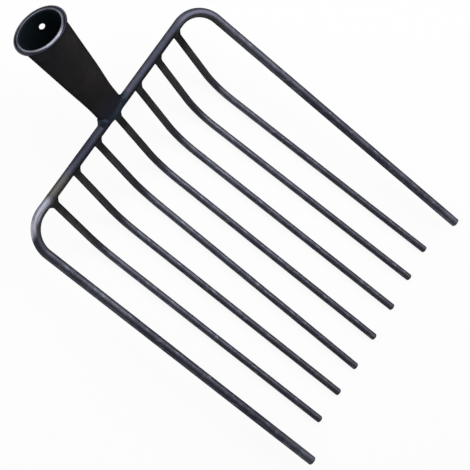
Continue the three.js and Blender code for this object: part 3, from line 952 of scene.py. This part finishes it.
def frame_rod_finish():
    """Drawn rod in thin lacquer: bluish, lighter where it was bent, partly rubbed and partly a
    painted highlight, with painted shade on the inner side of the bends and of the bar, brown where
    the bar was heated, and with pits of about a millimetre."""
    colours = finishes()
    sizes = rods()
    half = sizes.outer_spacing / 2
    bend = sizes.corner_radius

    def patch(x, y, inner, outer, tone, gloss):
        """A round patch at a place from the middle of the bar."""
        return bar_centre() + Vector((x, y, 0)), inner, outer, tone, gloss

    patches = [
        patch(half - 96 * MM, -6 * MM, 4 * MM, 30 * MM, colours.bar_smoky, 0.45),
        patch(half - 54 * MM, -4 * MM, 5 * MM, 25 * MM, colours.bar_warm, 0.4),
        # Partly worn steel and partly a painted highlight, along the bar and round the outside of the
        # bend at +X
        patch(half - 27 * MM, 0, 9 * MM, 19 * MM, colours.corner_worn_and_highlight, 0.36),
        patch(half - 3 * MM, -4 * MM, 9 * MM, 16.5 * MM, colours.corner_bare_and_highlight, 0.4),
        patch(9 * MM - half, 7 * MM, 12 * MM, 32 * MM, colours.corner_rubbed, 0.44),
        # Painted shade on the inner side of the bend at +X
        patch(half - bend + 10 * MM, bend - 12 * MM, 13 * MM, 16.5 * MM, colours.rod_soot_and_shade, 0.5),
    ]
    # Painted shade on the inner side of both bends, in the colour of the thick lacquer
    patches += [
        patch(side * (half - bend), bend, bend - sizes.frame_diameter * 0.35, bend,
              colours.rod_thick_and_shade, 0.5)
        for side in (-1, 1)
    ]
    tones = (colours.rod_soot_and_shade, colours.bar_blue, colours.rod_thin, colours.rod_rubbed)
    return lacquered_steel(
        "Blue-black lacquered frame rod", tones, (0.38, 0.54), cloud=22 * MM, pit=1.6 * MM,
        pit_depth=0.1 * MM, wear_and_light=FRAME_WEAR_AND_LIGHT, patches=patches,
        scuffed=(colours.scuffed, 24 * MM, 50 * MM))


def tine_finish():
    """The same lacquered steel on the thinner tines: sooty at the roots that were welded, with
    painted shade down the slopes, lighter beyond the bends, partly rubbed and partly a painted
    highlight, and duller again in the thicker lacquer towards the tips."""
    colours = finishes()
    tones = (colours.rod_soot_and_shade, colours.rod_thick_and_shade, colours.rod_thin, colours.rod_rubbed)
    return lacquered_steel(
        "Blue-black lacquered tine rod", tones, (0.38, 0.54), cloud=18 * MM, pit=1.4 * MM,
        pit_depth=0.09 * MM, wear_and_light=TINE_WEAR_AND_LIGHT, scuffed=(colours.scuffed, 60 * MM, 90 * MM))


def socket_finish():
    """Tube pressed hot and lacquered matt black, in faint clouds, with a breath of blue beside the
    weld."""
    colours = finishes()
    foot = (bar_centre(), 12 * MM, 40 * MM, colours.tube_foot, 0.58)
    return lacquered_steel(
        "Matt black pressed tube", (colours.tube_dark, colours.tube_light), (0.6, 0.72),
        cloud=26 * MM, pit=1.2 * MM, pit_depth=0.06 * MM, patches=[foot])


def rim_finish():
    """Rolled rim of steel, in clouds from lacquer left on it to rubbed bright metal, with a painted
    highlight along its crest and painted shade over its upper side round that highlight. The
    highlight lies on the upper side, where a ball that is set off from the axis reaches further over
    the crest."""
    colours = finishes()
    sizes = socket_sizes()
    upper = Vector((0.33, 0.94, 0))
    mouth = UP * (sizes.length - sizes.rim_crest)
    patches = [
        # Painted shade over the upper side of the rim, and a painted highlight along the crest on
        # that side
        (socket_frame() @ (mouth + upper * 26 * MM), 16 * MM, 36 * MM, colours.rim_painted_shade, 0.3),
        (socket_frame() @ (mouth + upper * 2.1 * MM), 22.4 * MM, 23.3 * MM, colours.rim_painted_highlight, 0.24),
    ]
    return lacquered_steel(
        "Rubbed steel rim", (colours.rim_dark, colours.rim_light), (0.26, 0.38),
        cloud=9 * MM, pit=1.2 * MM, pit_depth=0.05 * MM, patches=patches)


def bore_shade_finish():
    """Bore of the tube, in painted shade: darker and bluer than the tube outside, and dull."""
    colours = finishes()
    return lacquered_steel("Dull black bore", (colours.bore, colours.bore), (0.7, 0.8),
                           cloud=20 * MM, pit=1.2 * MM, pit_depth=0.06 * MM)


def sooty_weld_finish():
    """The tines' small welds, left dull and grey with soot under the lacquer."""
    colours = finishes()
    return lacquered_steel(
        "Sooty weld metal", (colours.weld_dark, colours.rod_thick_and_shade), (0.45, 0.62),
        cloud=6 * MM, pit=1.1 * MM, pit_depth=0.18 * MM)


def weld_finish():
    """Weld metal with a blue heat tint and fine pits under the lacquer."""
    colours = finishes()
    return lacquered_steel(
        "Heat-tinted weld metal", (colours.weld_dark, colours.weld_blue), (0.4, 0.58),
        cloud=7 * MM, pit=1.1 * MM, pit_depth=0.18 * MM)


class ForkBuildStage(Operator):
    """Build the studio: a white floor, soft lights and the camera"""
    bl_idname = "fork.build_stage"
    bl_label = "Studio"

    def execute(self, context):
        self.floor()
        self.sky(context)
        self.lights()
        self.camera(context)
        context.scene.view_settings.view_transform = "Standard"
        return {"FINISHED"}

    def floor(self):
        """A wide white floor just under the tines. What the camera sees of it is partly its own
        white, so that the shadows on it stay light."""
        deselect()
        bpy.ops.mesh.primitive_plane_add(size=40, location=(0, 0, -FLOOR_GAP))
        floor = bpy.context.object
        floor.name = "studio_floor"
        material = bpy.data.materials.new("Matt white studio paper")
        tree = empty_tree(material)
        own_white = add_node(tree, "ShaderNodeEmission", {"Color": (1, 1, 1, 1), "Strength": 1.0})
        paper = add_node(tree, "ShaderNodeBsdfDiffuse", {"Color": rgba(finishes().floor)})
        share = add_node(tree, "ShaderNodeMath", {1: FLOOR_OWN_WHITE}, {0: seen_by_eye(tree)},
                         operation="MULTIPLY")
        seen = add_node(tree, "ShaderNodeMixShader",
                        links={0: share.outputs[0], 1: paper.outputs[0], 2: own_white.outputs[0]})
        add_node(tree, "ShaderNodeOutputMaterial", links={"Surface": seen.outputs[0]})
        floor.data.materials.append(material)

    def sky(self, context):
        """The dim, even light of the room round the softboxes."""
        context.scene.world = bpy.data.worlds.new("studio")
        tree = empty_tree(context.scene.world)
        sky = add_node(tree, "ShaderNodeBackground", {"Color": (1, 1, 1, 1), "Strength": ROOM_LIGHT})
        add_node(tree, "ShaderNodeOutputWorld", links={"Surface": sky.outputs[0]})

    def lights(self):
        """Two broad softboxes: the main one at -X, and one behind the socket."""
        for name, (around, up, size, power) in SOFTBOXES.items():
            deselect()
            around, up = radians(around), radians(up)
            level = cos(up)
            direction = Vector((level * cos(around), level * sin(around), sin(up)))
            bpy.ops.object.light_add(type="AREA", location=direction * LAMP_DISTANCE,
                                     rotation=direction.to_track_quat("Z", "Y").to_euler())
            lamp = bpy.context.object
            lamp.name = name
            lamp.data.shape = "RECTANGLE"
            lamp.data.size, lamp.data.size_y = size
            lamp.data.energy = power

    def camera(self, context):
        """The photograph's view: from high above, at the +X side, with its frame shifted a little."""
        stage = context.scene.fork_stage
        data = bpy.data.cameras.new("photo_camera")
        camera = bpy.data.objects.new("photo_camera", data)
        context.scene.collection.objects.link(camera)
        backward = CAMERA_RIGHT.cross(-CAMERA_DOWN)
        turned = Matrix((CAMERA_RIGHT, -CAMERA_DOWN, backward)).transposed().to_4x4()
        turned.translation = bar_centre() + CAMERA_PLACE * MM
        camera.matrix_world = turned
        data.sensor_width = stage.sensor / MM
        data.lens = stage.focal_pixels / stage.picture_pixels * data.sensor_width
        half = stage.picture_pixels / 2
        data.shift_x = (half - stage.middle_pixel[0]) / stage.picture_pixels
        data.shift_y = (stage.middle_pixel[1] - half) / stage.picture_pixels
        data.clip_start = 0.01
        data.clip_end = 50
        context.scene.camera = camera


def seen_by_eye(tree):
    """1 for rays from the camera, and for what mirrors and glass show of the same white."""
    path = add_node(tree, "ShaderNodeLightPath")
    mirrored = add_node(tree, "ShaderNodeMath", operation="MAXIMUM", links={
        0: path.outputs["Is Glossy Ray"], 1: path.outputs["Is Transmission Ray"]})
    return add_node(tree, "ShaderNodeMath", operation="MAXIMUM", links={
        0: path.outputs["Is Camera Ray"], 1: mirrored.outputs[0]}).outputs[0]


BUILD_STEPS = (
    ForkBuildFrameRod, ForkBuildTines, ForkBuildSocket, ForkBuildTineWelds, ForkBuildSocketWelds,
    ForkBuildStage)


class ForkPanel(Panel):
    """Lists the build steps in the sidebar"""
    bl_idname = "FORK_PT_build"
    bl_label = "Scoop fork head"
    bl_space_type = "VIEW_3D"
    bl_region_type = "UI"
    bl_category = "Fork"

    def draw(self, context):
        for step in BUILD_STEPS:
            self.layout.operator(step.bl_idname)
        for group_name in SETTINGS:
            group = getattr(context.scene, group_name)
            box = self.layout.box()
            box.label(text=group.bl_rna.description)
            for name in group.__annotations__:
                box.prop(group, name)


SETTINGS = {
    "fork_rods": ForkRodSizes,
    "fork_socket": ForkSocketSizes,
    "fork_welds": ForkWeldSizes,
    "fork_finishes": ForkFinishes,
    "fork_stage": ForkStageSizes,
}
CLASSES = (*SETTINGS.values(), *BUILD_STEPS, ForkPanel)


def register():
    for each in CLASSES:
        bpy.utils.register_class(each)
    for name, group in SETTINGS.items():
        setattr(bpy.types.Scene, name, PointerProperty(type=group))


def unregister():
    for name in SETTINGS:
        delattr(bpy.types.Scene, name)
    for each in reversed(CLASSES):
        bpy.utils.unregister_class(each)


def main():
    register()
    for step in BUILD_STEPS:
        family, name = step.bl_idname.split(".")
        getattr(getattr(bpy.ops, family), name)()


if __name__ == "__main__":
    main()
